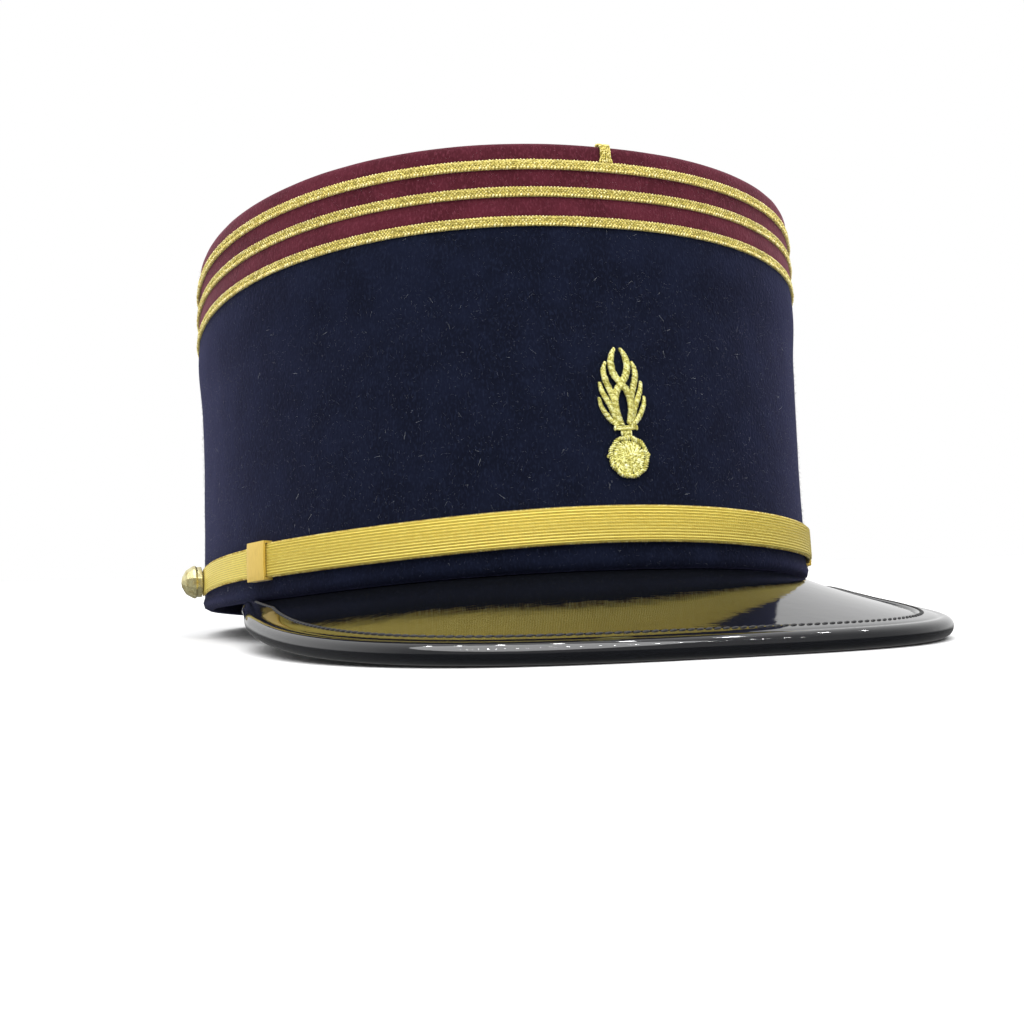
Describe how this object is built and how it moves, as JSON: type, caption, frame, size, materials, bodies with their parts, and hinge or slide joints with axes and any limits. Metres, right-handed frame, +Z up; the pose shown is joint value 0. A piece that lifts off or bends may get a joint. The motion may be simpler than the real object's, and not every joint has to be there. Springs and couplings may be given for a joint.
{
  "type": "kepi cap",
  "caption": "Stiff round uniform cap with a hollow cloth crown, gold braids, an embroidered badge, a chin strap and a patent leather visor.",
  "frame": {"origin": "under the middle of the cap's box, on the surface that it rests on", "axes": "+Z up from the surface, the visor towards -Y, the wearer's left towards +X"},
  "size_m": [0.186, 0.2462, 0.1177],
  "materials": {
    "navy_cloth": "milled wool cloth, matt",
    "crimson_cloth": "milled wool cloth, matt",
    "gold_braid": "plaited metallic thread",
    "gold_embroidery": "metallic thread embroidery",
    "gold_ribbon": "ribbed metallic ribbon",
    "gold_keeper": "smooth satin ribbon",
    "gilt_metal": "polished gilt",
    "patent_leather": "high gloss"
  },
  "bodies": {
    "root": {"crown_band": "navy_cloth", "crown_upper": "crimson_cloth", "crown_top": "crimson_cloth", "braid_upper": "gold_braid", "braid_middle": "gold_braid", "braid_lower": "gold_braid", "braid_front": "gold_braid", "badge": "gold_embroidery", "chin_strap": "gold_ribbon", "keeper_left": "gold_keeper", "keeper_right": "gold_keeper", "button_left": "gilt_metal", "button_right": "gilt_metal", "visor": "patent_leather", "visor_binding": "patent_leather"}
  },
  "joints": []
}
